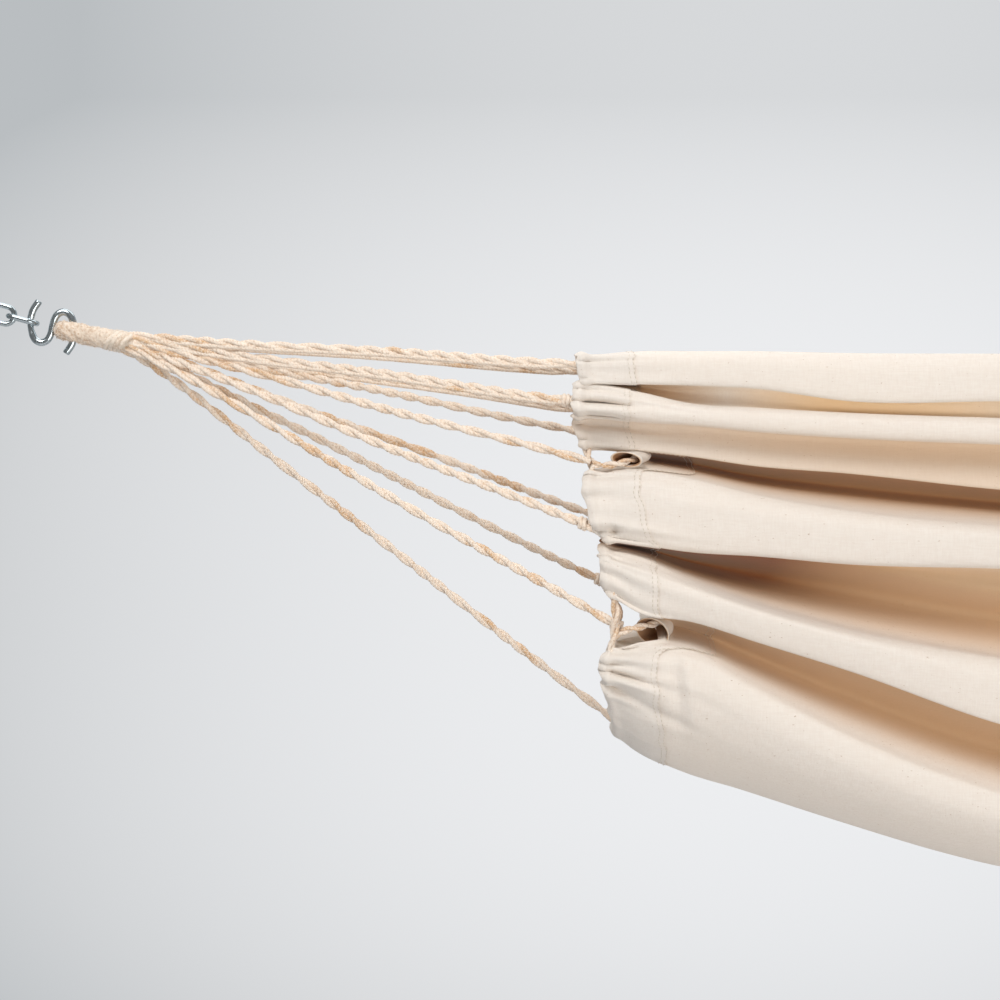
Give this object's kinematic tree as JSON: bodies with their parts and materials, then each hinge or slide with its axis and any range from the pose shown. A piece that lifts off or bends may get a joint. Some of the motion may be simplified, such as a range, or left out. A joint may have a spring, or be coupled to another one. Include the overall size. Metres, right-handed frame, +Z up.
{
  "type": "hammock on stand",
  "caption": "Fabric hammock with a gathered hem, a fan of harness cords, S-hooks and chains, hung from a tubular steel stand.",
  "frame": {"origin": "on the floor, under the middle of the hammock, halfway between the stand's ends", "axes": "+X along the hammock to the right end, +Y across it to the back, +Z up"},
  "size_m": [4.6346, 1.2, 1.2931],
  "materials": {
    "stand_paint": "satin powder coat",
    "zinc": "bright zinc plate",
    "rubber": "matte",
    "cap_plastic": "matte",
    "rope": "twisted natural cotton",
    "canvas": "unbleached cotton canvas"
  },
  "bodies": {
    "stand": {"base_rail_center": "stand_paint", "base_rail_left": "stand_paint", "base_rail_right": "stand_paint", "left_foot_bar": "stand_paint", "right_foot_bar": "stand_paint", "left_saddle": "cap_plastic", "right_saddle": "cap_plastic", "foot_caps": "rubber", "left_elbow": "stand_paint", "right_elbow": "stand_paint", "left_lower_arm": "stand_paint", "right_lower_arm": "stand_paint", "left_upper_arm": "stand_paint", "right_upper_arm": "stand_paint", "arm_caps": "cap_plastic", "frame_bolts": "zinc", "foot_bolts": "zinc", "frame_nuts": "zinc", "frame_washers": "zinc", "left_hook_bolt": "zinc", "right_hook_bolt": "zinc", "hook_nuts": "zinc", "hook_washers": "zinc"},
    "left_chain": {"left_chain": "zinc"},
    "right_chain": {"right_chain": "zinc"},
    "hammock": {"left_s_hook": "zinc", "right_s_hook": "zinc", "left_eye": "rope", "right_eye": "rope", "left_whipping": "rope", "right_whipping": "rope", "left_clew": "rope", "right_clew": "rope", "left_cord_1": "rope", "left_cord_2": "rope", "left_cord_3": "rope", "left_cord_4": "rope", "left_cord_5": "rope", "left_cord_6": "rope", "left_cord_7": "rope", "left_cord_8": "rope", "left_cord_9": "rope", "left_cord_10": "rope", "left_cord_11": "rope", "right_cord_1": "rope", "right_cord_2": "rope", "right_cord_3": "rope", "right_cord_4": "rope", "right_cord_5": "rope", "right_cord_6": "rope", "right_cord_7": "rope", "right_cord_8": "rope", "right_cord_9": "rope", "right_cord_10": "rope", "right_cord_11": "rope", "left_gather_rope": "rope", "right_gather_rope": "rope", "left_hem": "canvas", "right_hem": "canvas", "bed": "canvas"}
  },
  "joints": [
    {"name": "left_chain_swing", "type": "hinge", "parent": "stand", "child": "left_chain", "pos_m": [-2.1898, 0, 1.25454], "axis": [1, 0, 0], "range_deg": [-25, 25]},
    {"name": "right_chain_swing", "type": "hinge", "parent": "stand", "child": "right_chain", "pos_m": [2.1898, 0, 1.25454], "axis": [1, 0, 0], "range_deg": [-25, 25]},
    {"name": "hammock_swing", "type": "hinge", "parent": "left_chain", "child": "hammock", "pos_m": [-1.725, 0, 1.13], "axis": [1, 0, 0], "range_deg": [-25, 25]}
  ],
  "couplings": [
    {"joint": "right_chain_swing", "follows": "left_chain_swing", "ratio": 1}
  ]
}
